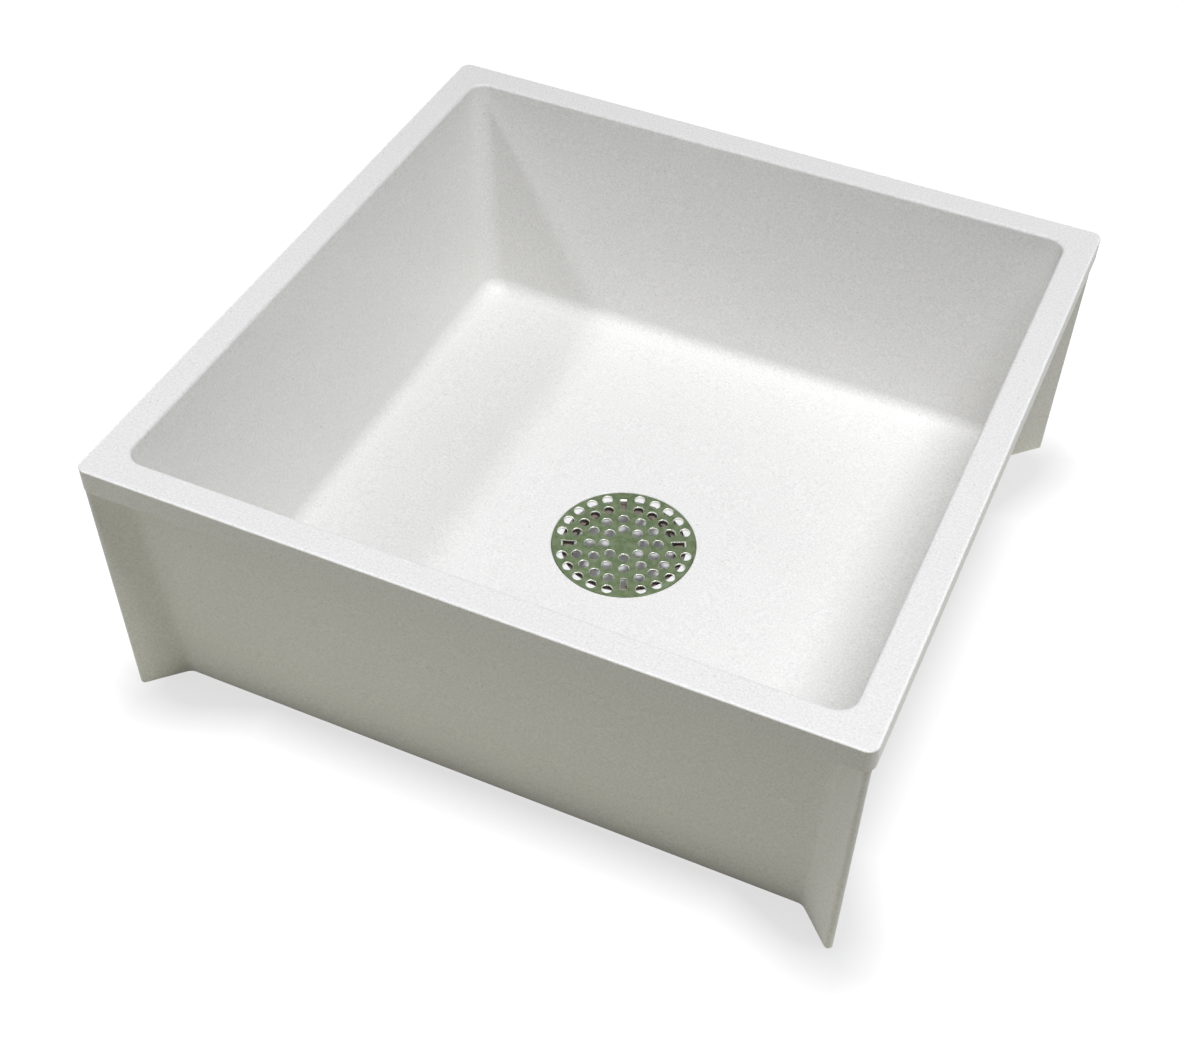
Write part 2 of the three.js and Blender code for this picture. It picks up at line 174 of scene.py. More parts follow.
def pale_ground():
    """Matt and pale, a little darker to the right and away from the basin. The camera and reflections
    see it glow instead, which makes open ground white. The glow falls across the shadow's zone towards a
    rounded square round the basin's foot, drawn out at the corners to the fins' tips, which paints a soft
    shadow there over the faint real one, and is faint under the basin."""
    material = bpy.data.materials.new("pale_ground")
    start = shader_start(material)
    place = start.node("ShaderNodeTexCoord", output="Object")
    shifted = start.node("ShaderNodeVectorMath", {"operation": "ADD"}, in0=place,
                         in1=(-shadow_shift, shadow_shift, 0.0))
    across = start.node("ShaderNodeVectorMath", {"operation": "ABSOLUTE"}, in0=shifted)
    along_x, along_y = (start.node("ShaderNodeSeparateXYZ", output=axis, Vector=across) for axis in "XY")
    larger, smaller = start.math("MAXIMUM", along_x, along_y), start.math("MINIMUM", along_x, along_y)
    past_core = start.node("ShaderNodeVectorMath", {"operation": "SUBTRACT"}, in0=across,
                           in1=(shadow_half, shadow_half, 0.0))
    beyond = start.node("ShaderNodeVectorMath", {"operation": "MAXIMUM"}, in0=past_core, in1=(0.0, 0.0, 0.0))
    reach = start.node("ShaderNodeVectorMath", {"operation": "LENGTH"}, output=1, in0=beyond)
    risen = (reach - smaller.ramp(tip_zone, high=tip_reach)).ramp(shadow_zone, high=glow_lift)
    outside = larger.ramp(under_zone)
    glow_colour = (glow_under + outside * (1 - glow_under + risen)).tint(ground_glow)
    seen_colour = (seen_under - outside * (seen_under - seen_outside)).tint((1.0, 1.0, 1.0))
    sideways = start.node("ShaderNodeSeparateXYZ", output="X", Vector=place)
    near = reach.ramp(near_zone, near_lift, 0.0)
    paleness = sideways.ramp(paleness_zone, paleness_left, paleness_right) + near
    matt = start.node("ShaderNodeBsdfDiffuse", Color=paleness.tint(ground_colour))
    seen = start.node("ShaderNodeAddShader", in0=start.node("ShaderNodeBsdfDiffuse", Color=seen_colour),
                      in1=start.node("ShaderNodeEmission", Color=glow_colour))
    surface = start.node("ShaderNodeMixShader", in0=seen_directly(start), in1=matt, in2=seen)
    start.node("ShaderNodeOutputMaterial", Surface=surface)
    return material


ground_mesh.materials.append(pale_ground())


lamp_colour = (1.0, 1.005, 1.05)


def lamp(name, place, aim, size, power):
    """A rectangular lamp at a place, facing a point. Its first side lies across Y, its second as near along
    Y as it can."""
    light = bpy.data.lights.new(name, "AREA")
    light.shape = "RECTANGLE"
    light.size, light.size_y = size
    light.energy = power
    light.color = lamp_colour
    holder = bpy.data.objects.new(name, light)
    away = (Vector(place) - Vector(aim)).normalized()
    side = Vector((0, 1, 0)).cross(away).normalized()
    up = away.cross(side)
    holder.matrix_world = Matrix.Translation(place) @ Matrix((side, up, away)).transposed().to_4x4()
    bpy.context.scene.collection.objects.link(holder)


lamp("overhead", place=(1.0, -0.28, 3.4), aim=(1.6, -1.40, 0), size=(1.3, 0.8), power=103.5)
lamp("left_strip", place=(-1.12, -0.60, 1.60), aim=(-0.1, -0.1, 0.1), size=(0.16, 1.7), power=8.4)


# ---- Basin ---------------------------------------------------------------------------------------
# One moulding in white glass-filled composite with fine grey flecks and a satin skin. It stands on the
# edges of its walls and on four corner fins, and holds the drain in a round recess of its floor.

side_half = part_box("basin")[1].x
lip_depth, lip_thickness, lip_corner = 0.0215, 0.006, 0.009
rim_thickness, rim_edge, lip_edge = 0.0065, 0.0013, 0.0012
wall_top_half, wall_foot_half, wall_thickness = 0.284, 0.273, 0.0042
opening_half, opening_corner = wall_top_half - wall_thickness, 0.015
tub_draft, floor_corner, floor_thickness = 0.0125, 0.018, 0.006
floor_half = opening_half - tub_draft
floor_fillet, rim_round_over = 0.014, 0.003
lip_root_fillet, wall_root_fillet, support_root_fillet = 0.002, 0.003, 0.002
soft_edge, recess_edge = 0.0006, 0.0012
fin_thickness, fin_flare = 0.007, 0.010
fin_tip_inset, fin_tip_draft = 0.0003, 0.0036
fin_foot_round = (0.0006, 0.0002)
rib_thickness = 0.005

clearance = 0.0003
plate_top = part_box("strainer")[1].z
flange_half, flange_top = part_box("drain_body")[1].x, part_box("drain_body")[1].z
gasket_bottom, gasket_top = (corner.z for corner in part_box("flange_gasket"))
ring_bottom, ring_top = (corner.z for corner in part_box("clamp_ring"))
ring_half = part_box("clamp_ring")[1].x
floor_step, floor_fall = 0.0004, 0.008
floor_low = plate_top + floor_step
floor_high = floor_low + floor_fall
recess_half, recess_floor = flange_half + clearance, gasket_bottom - clearance
boss_underside = ring_top + clearance
support_margin, support_thickness = 0.0015, 0.005
support_half = ring_half + support_margin
hole_half = 0.0572
screw_circle, screw_hole, hole_steps = 0.0602, 0.00205, 32
drain_turn = math.radians(24)
cut_past = 0.001


def level_rings(half, corner, roundness, corner_steps, side_steps):
    """Level outlines, one per row: a square of that half width whose corners are arcs of the corner radius,
    moved in a straight line towards a circle of the same half width as roundness goes from 0 to 1."""
    step = np.arange(corner_steps + side_steps)
    on_corner = np.minimum(step, corner_steps) / corner_steps * np.pi / 2
    on_side = np.maximum(step - corner_steps, 0) / side_steps
    half, corner, roundness = (np.asarray(a, float)[:, None] for a in (half, corner, roundness))
    inset = half - corner
    square = np.stack([inset + corner * np.cos(on_corner) - 2 * inset * on_side,
                       inset + corner * np.sin(on_corner)])
    angle = np.pi / 4 * (1 - corner_steps / len(step)) + np.pi / 2 * step / len(step)
    circle = np.stack([half * np.cos(angle), half * np.sin(angle)])
    x, y = square + (circle - square) * roundness
    quarters = [(x, y), (-y, x), (-x, -y), (y, -x)]
    return np.stack([np.concatenate(axis, axis=1) for axis in zip(*quarters)], axis=-1)


def rounded_section(corners, steps, most=0.45):
    """A closed section with an arc at each corner that touches both its edges: for edges that meet at
    the angle a, its centre lies r / sin(a / 2) along their bisector, and it turns by pi - a. A corner has
    a half width, a height, the plan's corner radius there, how round the plan is, and the fillet r, which
    takes at most the given share of the shorter edge. Along an arc the plan's corner radius follows the
    half width, as an offset outline's does, and the roundness follows the edges."""
    here = np.asarray(corners, float)
    before, after = np.roll(here, 1, axis=0), np.roll(here, -1, axis=0)
    back, ahead = before[:, :2] - here[:, :2], after[:, :2] - here[:, :2]
    back_reach, ahead_reach = (np.linalg.norm(edge, axis=1) for edge in (back, ahead))
    back, ahead = back / back_reach[:, None], ahead / ahead_reach[:, None]
    half_angle = np.arccos(np.clip((back * ahead).sum(1), -1, 1)) / 2
    tangent = np.minimum(here[:, 4] / np.tan(half_angle), most * np.minimum(back_reach, ahead_reach))
    radius = tangent * np.tan(half_angle)
    bisector = back + ahead
    bisector /= np.linalg.norm(bisector, axis=1)[:, None]
    centre = here[:, :2] + bisector * (radius / np.sin(half_angle))[:, None]
    along = np.linspace(0, 1, steps + 1)
    sense = -np.sign(back[:, 0] * ahead[:, 1] - back[:, 1] * ahead[:, 0])
    swing = (sense * (np.pi - 2 * half_angle))[:, None] * along
    start = here[:, :2] + back * tangent[:, None] - centre
    half = centre[:, :1] + start[:, :1] * np.cos(swing) - start[:, 1:] * np.sin(swing)
    height = centre[:, 1:] + start[:, :1] * np.sin(swing) + start[:, 1:] * np.cos(swing)
    plan = np.maximum(here[:, 2:3] + half - here[:, :1], 0)
    share_back = (tangent / back_reach * (before[:, 3] - here[:, 3]))[:, None] * (1 - along)
    share_ahead = (tangent / ahead_reach * (after[:, 3] - here[:, 3]))[:, None] * along
    return half.ravel(), height.ravel(), plan.ravel(), (here[:, 3:4] + share_back + share_ahead).ravel()


def mesh_piece(name, points, faces):
    """A new piece whose mesh has these points, three numbers each, and these faces."""
    mesh = bpy.data.meshes.new(name)
    mesh.from_pydata(np.asarray(points, float).reshape(-1, 3).tolist(), [], faces)
    piece = bpy.data.objects.new(name, mesh)
    bpy.context.scene.collection.objects.link(piece)
    return piece


def ring_solid(name, corners, steps=6, corner_steps=16, side_steps=8):
    """The solid that a closed section sweeps once round Z, each of its points along a level outline. The
    section runs with its material on the right."""
    half, height, plan, roundness = rounded_section(corners, steps)
    outlines = level_rings(half, plan, roundness, corner_steps, side_steps)
    rings, around = outlines.shape[:2]
    heights = np.broadcast_to(height[:, None, None], (rings, around, 1))
    ring, place = np.meshgrid(np.arange(rings), np.arange(around), indexing="ij")
    next_ring, next_place = (ring + 1) % rings * around, (place + 1) % around
    faces = np.stack([ring * around + place, next_ring + place,
                      next_ring + next_place, ring * around + next_place], axis=-1)
    return mesh_piece(name, np.concatenate([outlines, heights], axis=2), faces.reshape(-1, 4).tolist())


def stacked_solid(name, outlines):
    """The solid between outlines of equally many points, one row each, that run anticlockwise seen from the
    last one. Quads join each outline to the next, and the first and last are closed with a face."""
    outlines = np.asarray(outlines, float)
    levels, around = outlines.shape[:2]
    level, place = np.meshgrid(np.arange(levels - 1), np.arange(around), indexing="ij")
    here, above, beside = level * around, (level + 1) * around, (place + 1) % around
    sides = np.stack([here + place, here + beside, above + beside, above + place], axis=-1)
    first, last = np.arange(around)[::-1], np.arange(around) + (levels - 1) * around
    return mesh_piece(name, outlines, sides.reshape(-1, 4).tolist() + [first.tolist(), last.tolist()])


def at_heights(outlines, heights):
    """Level outlines lifted to their heights, one each."""
    outlines = np.asarray(outlines, float)
    lifted = np.broadcast_to(np.asarray(heights, float)[:, None, None], (*outlines.shape[:2], 1))
    return np.concatenate([outlines, lifted], axis=2)


def circles(radii, steps, centre=(0, 0)):
    """Circles of several radii round one centre, one per row."""
    angle = np.linspace(0, 2 * np.pi, steps, endpoint=False)
    return np.asarray(radii)[:, None, None] * np.stack([np.cos(angle), np.sin(angle)], axis=1) + centre


def points_of(piece):
    """The piece's mesh points, one per row."""
    points = np.empty(len(piece.data.vertices) * 3)
    piece.data.vertices.foreach_get("co", points)
    return points.reshape(-1, 3)


def in_copies(piece, name, placed):
    """One piece in the place of another: its faces once for each placed set of its points."""
    faces, size = [tuple(face.vertices) for face in piece.data.polygons], len(piece.data.vertices)
    more = [[i + copy * size for i in face] for copy in range(len(placed)) for face in faces]
    bpy.data.objects.remove(piece)
    return mesh_piece(name, placed, more)


def in_quarters(piece, start=0):
    """The piece as one mesh of four copies, turned by quarters about Z from a first angle."""
    angles = start + np.arange(4) * np.pi / 2
    turns = [np.array([[np.cos(a), np.sin(a), 0], [-np.sin(a), np.cos(a), 0], [0, 0, 1]]) for a in angles]
    return in_copies(piece, piece.name, [points_of(piece) @ turn for turn in turns])


def combine(piece, tool, operation):
    """Joins the tool's solid to the piece, or cuts it away."""
    modifier = piece.modifiers.new("combine", "BOOLEAN")
    modifier.operation, modifier.solver, modifier.object = operation, "EXACT", tool
    evaluated = piece.evaluated_get(bpy.context.evaluated_depsgraph_get())
    merged = bpy.data.meshes.new_from_object(evaluated)
    piece.modifiers.clear()
    piece.data = merged
    bpy.data.objects.remove(tool)


def smooth(piece, sharp_angle=35):
    """Shades the piece smoothly across every edge that turns less than the angle in degrees, and keeps its
    flats flat."""
    piece.data.shade_smooth()
    piece.data.set_sharp_from_angle(angle=math.radians(sharp_angle))
    evener = piece.modifiers.new("even_shading", "WEIGHTED_NORMAL")
    evener.keep_sharp = True


def corner_fins():
    """The four fins. Each is a level outline at the +X +Y corner, worked out at the foot, at two heights
    of the foot's rounded edge and under the rim: from inside the wall it flares off both wall faces in
    arcs, runs out along the diagonal at the fin's thickness and ends in a half circle."""
    lip_reach = side_half * math.sqrt(2) - lip_corner * (math.sqrt(2) - 1)
    top = rim_height - rim_thickness / 2
    top_reach = lip_reach - fin_tip_inset
    half_thickness, flare_tangent = fin_thickness / 2, fin_flare * math.tan(math.pi / 8)
    bend = np.radians(np.linspace(-135, -90, 9))
    end = np.radians(np.linspace(90, -90, 17))
    outlines, heights = [], np.array([0, *fin_foot_round[::-1], top])
    for height, softened in zip(heights, (*fin_foot_round, 0, 0)):
        reach = top_reach - fin_tip_draft * (1 - height / top) - softened
        thin = half_thickness - softened
        crease = (wall_foot_half + wall_rise * height) * math.sqrt(2) - half_thickness
        flare = np.stack([crease + flare_tangent + fin_flare * np.cos(bend),
                          half_thickness + fin_flare + fin_flare * np.sin(bend) - softened], axis=1)
        root = flare[:1] - wall_thickness / 2 / math.sqrt(2)
        tip = np.stack([reach - thin + thin * np.cos(end), thin * np.sin(end)], axis=1)
        side = np.concatenate([root, flare])
        outline = np.concatenate([side, tip, side[::-1] * (1, -1)])[::-1]
        outlines.append(outline @ np.array([[1, 1], [-1, 1]]) / math.sqrt(2))
    return in_quarters(stacked_solid("fins", at_heights(outlines, heights)))


def floor_ribs():
    """Four upright ribs under the floor, from the drain's support ring out to the walls. Each has a
    slanting top edge inside the floor's thickness."""
    start, end = support_half + support_thickness / 2, skirt_half + wall_thickness / 2
    profile = np.array([(start, 0), (end, 0), (end, floor_underside + floor_thickness / 2),
                        (start, floor_low - floor_thickness / 2)])
    sides = [np.insert(profile, 1, side * rib_thickness / 2, axis=1) for side in (1, -1)]
    return in_quarters(stacked_solid("ribs", sides))


def screw_holes(low, high):
    """Round cutters for the four clamp screws, from just below one height to just above another."""
    outlines = circles((screw_hole, screw_hole), hole_steps, (screw_circle, 0))
    cutter = stacked_solid("screw_holes", at_heights(outlines, (low - cut_past, high + cut_past)))
    return in_quarters(cutter, drain_turn)


lip_bottom, under_rim = rim_height - lip_depth, rim_height - rim_thickness
wall_rise = (wall_top_half - wall_foot_half) / lip_bottom
wall_corner = fin_thickness / 2 * math.sqrt(2) + fin_flare * math.tan(math.pi / 8)
floor_underside = floor_high - floor_thickness
skirt_half, skirt_corner = wall_foot_half - wall_thickness, wall_corner - wall_thickness
lip_inner_half, lip_inner_corner = side_half - lip_thickness, lip_corner - lip_thickness
basin = ring_solid("basin_moulding", [
    (hole_half, recess_floor, 0, 1, soft_edge),
    (recess_half, recess_floor, 0, 1, soft_edge),
    (recess_half, floor_low, 0, 1, recess_edge),
    (floor_half, floor_high, floor_corner, 0, floor_fillet),
    (opening_half, rim_height, opening_corner, 0, rim_round_over),
    (side_half, rim_height, lip_corner, 0, rim_edge),
    (side_half, lip_bottom, lip_corner, 0, lip_edge),
    (lip_inner_half, lip_bottom, lip_inner_corner, 0, lip_edge),
    (lip_inner_half, under_rim, lip_inner_corner, 0, lip_root_fillet),
    (wall_foot_half + wall_rise * under_rim, under_rim, wall_corner, 0, wall_root_fillet),
    (wall_foot_half, 0, wall_corner, 0, soft_edge),
    (skirt_half, 0, skirt_corner, 0, soft_edge),
    (skirt_half, floor_underside, skirt_corner, 0, wall_root_fillet),
    (support_half + support_thickness, floor_low - floor_thickness, 0, 1, support_root_fillet),
    (support_half + support_thickness, 0, 0, 1, soft_edge),
    (support_half, 0, 0, 1, soft_edge),
    (support_half, boss_underside, 0, 1, soft_edge),
    (hole_half, boss_underside, 0, 1, soft_edge),
])
combine(basin, corner_fins(), "UNION")
combine(basin, floor_ribs(), "UNION")
combine(basin, screw_holes(boss_underside, recess_floor), "DIFFERENCE")
smooth(basin, sharp_angle=40)


def material_start(name):
    """A new material and its empty wiring, to be closed by closed_with."""
    material = bpy.data.materials.new(name)
    return material, shader_start(material)


def closed_with(material, start, **inputs):
    """Ends the wiring in a principled surface with the given inputs."""
    surface = start.node("ShaderNodeBsdfPrincipled", **inputs)
    start.node("ShaderNodeOutputMaterial", Surface=surface)
    return material


def dress(piece, material, body, node):
    """Gives the piece its material, puts it under the empty of the body that it rides on, and hides the
    CAD node that it stands for."""
    piece.data.materials.clear()
    piece.data.materials.append(material)
    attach(piece, body)
    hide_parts(node)


composite_white = (0.885, 0.881, 0.853)
fleck_cells, fleck_share, fleck_size = 240.0, 0.09, 0.23
# Painted highlight: the rim's top is lightened in a band this far in from its outer edge, down to this depth.
painted_highlight_band, painted_highlight_depth = (0.0024, 0.0014), 0.0008


def white_composite():
    """White composite: pale clouding, a fine grain of lighter and darker grit, and sparse grey flecks,
    under a satin skin that the grain just lifts. The top of the rim is painted lighter along its outer
    edge, over its last two millimetres: a painted highlight."""
    material, start = material_start("white_composite")
    place = start.node("ShaderNodeTexCoord", output="Object")
    cloud = start.node("ShaderNodeTexNoise", Vector=place, Scale=14.0, Detail=3.0)
    grit = start.node("ShaderNodeTexNoise", Vector=place, Scale=560.0, Detail=2.0, Roughness=0.6)
    near = start.node("ShaderNodeTexVoronoi", Vector=place, Scale=fleck_cells)
    kind = start.node("ShaderNodeTexVoronoi", Vector=place, Scale=fleck_cells, output="Color")
    chosen = start.math("GREATER_THAN", start.node("ShaderNodeSeparateColor", in0=kind), 1 - fleck_share)
    fleck = start.math("LESS_THAN", near, fleck_size) * chosen
    across = start.node("ShaderNodeVectorMath", {"operation": "ABSOLUTE"}, in0=place)
    along_x, along_y, height = (start.node("ShaderNodeSeparateXYZ", output=axis, Vector=across)
                                for axis in "XYZ")
    reach = start.math("MAXIMUM", along_x, along_y)
    # Painted highlight: lighter along the rim's outer edge, on its top only.
    at_edge = reach.ramp([side_half - inset for inset in painted_highlight_band])
    on_top = start.math("GREATER_THAN", height, rim_height - painted_highlight_depth)
    tone = 0.985 + (cloud - 0.5) * 0.03 + (grit - 0.5) * 0.48 - fleck * 0.12 + at_edge * on_top * 0.14
    skin = start.node("ShaderNodeBump", Strength=0.15, Distance=0.0004, Height=grit)
    return closed_with(material, start, Base_Color=tone.tint(composite_white),
                       Roughness=0.42 + (cloud - 0.5) * 0.06, Normal=skin)


dress(basin, white_composite(), "sink", "basin")


# ---- Clamp ring ----------------------------------------------------------------------------------
# A flat ring of plain stainless sheet under the floor. The four clamp screws pull it up against the
# floor, so that the drain fitting grips from above.

sheet_edge = 0.0003


def round_solid(name, corners, steps):
    """A ring solid that is round all over. A corner has a radius, a height and a fillet."""
    round_corners = [(radius, height, 0, 1, fillet) for radius, height, fillet in corners]
    return ring_solid(name, round_corners, steps, corner_steps=16, side_steps=16)


clamp_ring = round_solid("clamp_ring_plate", [
    (hole_half, ring_top, sheet_edge), (ring_half, ring_top, sheet_edge),
    (ring_half, ring_bottom, sheet_edge), (hole_half, ring_bottom, sheet_edge),
], steps=3)
combine(clamp_ring, screw_holes(ring_bottom, ring_top), "DIFFERENCE")
smooth(clamp_ring)

rolled_grey = (0.60, 0.60, 0.59)


def plain_steel():
    """Stainless steel as rolled: long fine streaks along X that vary its gloss and tone a little."""
    material, start = material_start("plain_steel")
    place = start.node("ShaderNodeTexCoord", output="Object")
    stretched = start.node("ShaderNodeMapping", Vector=place, Scale=(60.0, 2600.0, 2600.0))
    streak = start.node("ShaderNodeTexNoise", Vector=stretched, Scale=1.0, Detail=3.0)
    smudge = start.node("ShaderNodeTexNoise", Vector=place, Scale=90.0, Detail=2.0)
    tone = 0.9 + (streak - 0.5) * 0.25 + (smudge - 0.5) * 0.15
    scratch = start.node("ShaderNodeBump", Strength=0.15, Distance=0.0001, Height=streak)
    return closed_with(material, start, Base_Color=tone.tint(rolled_grey), Metallic=1.0, Normal=scratch,
                       Roughness=0.34 + (streak - 0.5) * 0.2 + (smudge - 0.5) * 0.1)


steel = plain_steel()
dress(clamp_ring, steel, "sink", "clamp_ring")


# ---- Flange gasket -------------------------------------------------------------------------------
# A flat ring punched from dull brown sheet rubber. It lies in the floor's recess and keeps water
# from creeping out under the drain's flange.

gasket_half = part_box("flange_gasket")[1].x
rubber_edge = 0.0002
gasket = round_solid("gasket_sheet", [
    (hole_half, gasket_top, rubber_edge), (gasket_half, gasket_top, rubber_edge),
    (gasket_half, gasket_bottom, rubber_edge), (hole_half, gasket_bottom, rubber_edge),
], steps=2)
combine(gasket, screw_holes(gasket_bottom, gasket_top), "DIFFERENCE")
smooth(gasket)

rubber_brown, chalked_brown = (0.24, 0.20, 0.165), (0.36, 0.33, 0.30)


def dull_rubber():
    """Rubber: dull brown, a little paler where chalk dusts it, with a pebbled matt skin."""
    material, start = material_start("dull_rubber")
    place = start.node("ShaderNodeTexCoord", output="Object")
    pebble = start.node("ShaderNodeTexNoise", Vector=place, Scale=1400.0, Detail=2.0)
    dust = start.node("ShaderNodeTexNoise", Vector=place, Scale=120.0, Detail=4.0)
    tone = start.node("ShaderNodeMix", {"data_type": "RGBA"}, output=2, in0=dust.ramp((0.5, 0.75), high=0.35),
                      in6=rubber_brown, in7=chalked_brown)
    skin = start.node("ShaderNodeBump", Strength=0.3, Distance=0.0001, Height=pebble)
    return closed_with(material, start, Base_Color=tone, Roughness=0.72 + (dust - 0.5) * 0.2, Normal=skin)


rubber = dull_rubber()
dress(gasket, rubber, "sink", "flange_gasket")


# ---- Drain body ----------------------------------------------------------------------------------
# The white plastic drain fitting: a flange that the strainer lies on, a throat down through the floor
# and an inward lip for the pipe seal. Four countersunk screws through its flange hold it.

flange_bottom = gasket_top + clearance
throat_outer = hole_half - clearance
throat_wall, body_lip_thickness = 0.0018, 0.0015
throat_inner = throat_outer - throat_wall
pipe_radius, pipe_gap = 0.04445, 0.002
body_lip_half, body_bottom = pipe_radius + pipe_gap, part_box("drain_body")[0].z
body_lip_top = body_bottom + body_lip_thickness
screw_head_half, screw_head_height, seat_gap = 0.0031, 0.0017, 0.00015
seat_half = screw_head_half + seat_gap
moulded_edge, root_fillet = 0.0004, 0.0008
drain_body = round_solid("drain_fitting", [
    (throat_inner, flange_top, moulded_edge), (flange_half, flange_top, moulded_edge),
    (flange_half, flange_bottom, moulded_edge), (throat_outer, flange_bottom, root_fillet),
    (throat_outer, body_bottom, moulded_edge), (body_lip_half, body_bottom, moulded_edge),
    (body_lip_half, body_lip_top, moulded_edge), (throat_inner, body_lip_top, root_fillet),
], steps=4)
combine(drain_body, screw_holes(flange_bottom, flange_top), "DIFFERENCE")
countersink = at_heights(circles((screw_hole, seat_half, seat_half), hole_steps, (screw_circle, 0)),
                         (flange_top - screw_head_height, flange_top, flange_top + cut_past))
combine(drain_body, in_quarters(stacked_solid("screw_seats", countersink), drain_turn), "DIFFERENCE")
smooth(drain_body)

plastic_white = (0.90, 0.90, 0.885)


def drain_plastic():
    """Moulded white plastic: an even, glossier white than the basin's, with faint flow marks and damp
    bloom."""
    material, start = material_start("drain_plastic")
    place = start.node("ShaderNodeTexCoord", output="Object")
    flow = start.node("ShaderNodeTexNoise", Vector=place, Scale=60.0, Detail=4.0, Distortion=0.8)
    grain = start.node("ShaderNodeTexNoise", Vector=place, Scale=1800.0, Detail=1.0)
    tone = 0.98 + (flow - 0.5) * 0.08
    skin = start.node("ShaderNodeBump", Strength=0.08, Distance=0.0001, Height=grain)
    return closed_with(material, start, Base_Color=tone.tint(plastic_white),
                       Roughness=0.3 + (flow - 0.5) * 0.15, Normal=skin)


dress(drain_body, drain_plastic(), "sink", "drain_body")


# ---- Clamp screws --------------------------------------------------------------------------------
# Four countersunk stainless screws with a cross recess. They go down through the flange, the gasket
# and the floor into the clamp ring, each under an unpunched place of the strainer.

screw_radius = 0.00175
thread_pitch, thread_depth, plain_neck = 0.0007, 0.0003, 0.0004
thread_low, thread_high = ring_bottom, flange_top - screw_head_height - plain_neck
head_rim = ((0.00025, 0.00008), (0.0001, 0), (0, 0.0001))
recess_depth, recess_width, recess_taper = 0.001, 0.0009, (0.8, 1.2)
first_screw_turn, screw_turn_step = 0.5, 1.3


def threaded_screw(name):
    """A screw on the Z axis: rings of points whose radius falls by a triangle wave of the height over the
    pitch less the turn, which makes one helical thread, then the plain neck, the cone and the head's rim,
    rounded through points so far below its top and in from its edge."""
    around, rings_per_pitch = 24, 8
    turn = np.arange(around) / around
    height = np.arange(thread_low, thread_high, thread_pitch / rings_per_pitch)[:, None]
    wave = np.abs(2 * ((height / thread_pitch - turn) % 1) - 1)
    fade = (np.clip((height - thread_low) / thread_pitch, 0, 1)
            * np.clip((thread_high - height) / thread_pitch, 0, 1))
    radius = screw_radius - thread_depth * (1 - wave * fade)
    head = [(thread_high, screw_radius - thread_depth), (flange_top - screw_head_height, screw_radius)]
    head += [(flange_top - below, screw_head_half - inwards) for below, inwards in head_rim]
    heights = np.concatenate([np.broadcast_to(height, radius.shape),
                              np.repeat([[z] for z, _ in head], around, 1)])
    radii = np.concatenate([radius, np.repeat([[r] for _, r in head], around, 1)])
    angle = 2 * np.pi * turn
    screw = stacked_solid(name, np.stack([radii * np.cos(angle), radii * np.sin(angle), heights], axis=-1))
    bar = np.array([(-1, -1), (1, -1), (1, 1), (-1, 1)])
    levels = (flange_top - recess_depth, flange_top + cut_past / 2)
    for length, width in ((screw_radius, recess_width / 2), (recess_width / 2, screw_radius)):
        outlines = [bar * (length, width) * share for share in recess_taper]
        combine(screw, stacked_solid("cross_recess", at_heights(outlines, levels)), "DIFFERENCE")
    return screw


for quarter in range(4):
    screw = threaded_screw(f"countersunk_screw_{quarter + 1}")
    angle = drain_turn + quarter * math.pi / 2
    seat = Matrix.Translation((screw_circle * math.cos(angle), screw_circle * math.sin(angle), 0))
    screw.data.transform(seat @ Matrix.Rotation(first_screw_turn + screw_turn_step * quarter, 4, "Z"))
    smooth(screw)
    dress(screw, steel, "sink", f"clamp_screw_{quarter + 1}")


# ---- Pipe seal -----------------------------------------------------------------------------------
# A moulded rubber ring in the drain's throat. Two lips in its bore grip the 3 in pipe that is pushed
# up from below, and its rim is notched where the strainer's legs pass.

seal_bottom, seal_top = (corner.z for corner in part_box("pipe_seal"))
seal_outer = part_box("pipe_seal")[1].x
bore_relief, lip_squeeze, lip_height = 0.0026, 0.00065, 0.0011
seal_relief, seal_grip = pipe_radius + bore_relief, pipe_radius - lip_squeeze
notch_depth, notch_width = 0.0021, 0.0066
pipe_seal = round_solid("pipe_seal_ring", [
    (seal_relief, seal_top, moulded_edge), (seal_outer, seal_top, moulded_edge),
    (seal_outer, seal_bottom, moulded_edge), (seal_relief, seal_bottom, moulded_edge),
    (seal_grip, seal_bottom + lip_height, moulded_edge),
    (seal_relief, seal_bottom + 2 * lip_height, moulded_edge),
    (seal_relief, seal_top - 2 * lip_height, moulded_edge),
    (seal_grip, seal_top - lip_height, moulded_edge),
], steps=3)
notch_inner, notch_outer = seal_outer - notch_depth, seal_outer + 2 * cut_past
notch = np.array([(notch_inner, -notch_width / 2), (notch_outer, -notch_width / 2),
                  (notch_outer, notch_width / 2), (notch_inner, notch_width / 2)])
leg_notch = at_heights((notch, notch), (seal_bottom - cut_past, seal_top + cut_past))
combine(pipe_seal, in_quarters(stacked_solid("leg_notches", leg_notch), drain_turn), "DIFFERENCE")
smooth(pipe_seal)
dress(pipe_seal, rubber, "sink", "pipe_seal")


# ---- Strainer ------------------------------------------------------------------------------------
# A flat round plate punched from sheet steel, satin with an olive cast, and bright where the punch
# rolled the edges of its holes and slots. Its outer edge keeps the darker olive skin as painted shade
# for the gap round the plate. Its four spring legs are bent down out of its slots, so it lifts out by hand.

plate_half, plate_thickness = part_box("strainer")[1].x, 0.0015
plate_bottom, leg_foot = plate_top - plate_thickness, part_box("strainer")[0].z
punch_radius, punch_steps, edge_roll, burr_roll = 0.0045, 28, 0.0006, 0.0002
rim_band, blank_half = 0.0028, 0.01275
punched_rings = ((24, True), (20, True), (12, False), (8, False))
disc_burr, disc_roll, disc_roll_middle, disc_steps = 0.0001, 0.0004, 0.00012, 160
leg_width, leg_foot_width, bend_radius = 0.0056, 0.0042, 0.0020
leg_tail, leg_foot_edge, leg_inset = 0.0018, 0.0004, 0.00004
leg_outer = throat_inner - clearance
leg_inner = leg_outer - plate_thickness
slot_length, slot_side_gap = 0.0115, 0.0003


